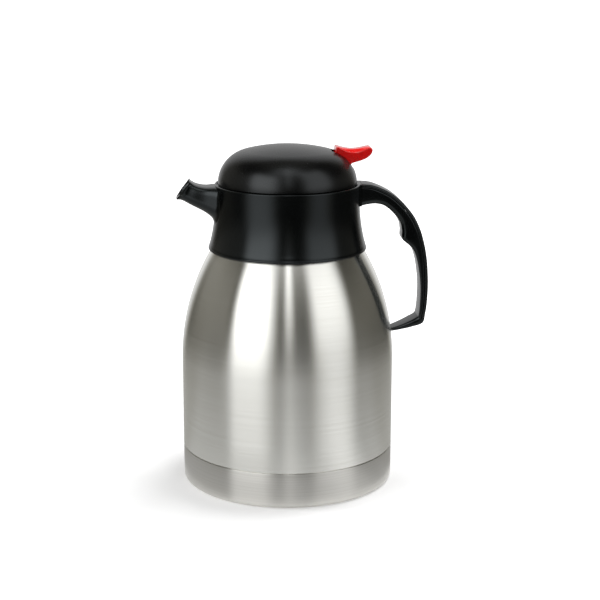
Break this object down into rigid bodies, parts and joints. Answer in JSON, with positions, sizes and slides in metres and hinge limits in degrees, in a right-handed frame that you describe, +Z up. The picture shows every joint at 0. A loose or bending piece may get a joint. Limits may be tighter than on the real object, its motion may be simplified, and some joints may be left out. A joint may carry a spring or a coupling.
{
  "type": "vacuum carafe",
  "caption": "Double-walled steel vacuum carafe with moulded collar, spout and handle, screw-in domed lid and a lever-operated pouring valve.",
  "frame": {"origin": "middle of the base, on the surface that the carafe stands on", "axes": "+Z up along the flask's axis, +X from the axis to the handle and lever, the spout points to -X"},
  "size_m": [0.1601, 0.136, 0.2175],
  "materials": {
    "steel_brushed": "stainless steel brushed around the body, clear-cut vertical highlights",
    "steel_band": "stainless steel with a coarser brushing around the base",
    "steel_plain": "plain stainless sheet and turned steel",
    "black_plastic": "moulded black polypropylene, satin",
    "black_cover": "moulded black polypropylene, slightly smoother satin",
    "black_lid": "moulded black polypropylene, fine matt grain",
    "dark_plastic": "dark grey moulded polypropylene",
    "silicone": "milky silicone rubber",
    "red_plastic": "glossy moulded red plastic",
    "spring_steel": "bright spring wire",
    "getter_metal": "dull sintered metal"
  },
  "bodies": {
    "flask": {"outer_shell": "steel_brushed", "shell_bottom": "steel_plain", "vacuum_plug": "getter_metal", "inner_flask": "steel_plain", "getter": "getter_metal", "base_band": "steel_band", "collar": "black_plastic", "neck_insert": "dark_plastic", "neck_gasket": "silicone", "handle": "black_plastic", "handle_cover": "black_cover", "handle_screws": "steel_plain"},
    "seal_carrier": {"stopper_seal": "silicone"},
    "lid": {"lid_dome": "black_lid", "lid_screws": "steel_plain", "stopper_body": "dark_plastic", "lever_pin": "steel_plain", "stem_seal": "silicone", "valve_spring": "spring_steel"},
    "lever": {"pour_lever": "red_plastic"},
    "valve": {"valve_stem": "steel_plain", "stem_cap": "dark_plastic", "valve_head": "dark_plastic", "valve_seal": "silicone"}
  },
  "joints": [
    {"name": "lid_rise", "type": "slide", "parent": "flask", "child": "seal_carrier", "axis": [0, 0, 1], "range_m": [0, 0.06]},
    {"name": "lid_turn", "type": "hinge", "parent": "seal_carrier", "child": "lid", "pos_m": [0, 0, 0.17], "axis": [0, 0, 1], "range_deg": [0, 1442]},
    {"name": "lever_press", "type": "hinge", "parent": "lid", "child": "lever", "pos_m": [0.033, 0, 0.2043], "axis": [0, 1, 0], "range_deg": [0, 10]},
    {"name": "valve_lift", "type": "slide", "parent": "lid", "child": "valve", "axis": [0, 0, 1], "range_m": [0, 0.00575], "stiffness_N_per_m": 250, "springref_m": -0.008, "deforming": ["valve_spring"]}
  ],
  "couplings": [
    {"joint": "lid_turn", "follows": "lid_rise", "rad_per_m": 418.88},
    {"joint": "lever_press", "follows": "valve_lift", "rad_per_m": 30.303}
  ]
}
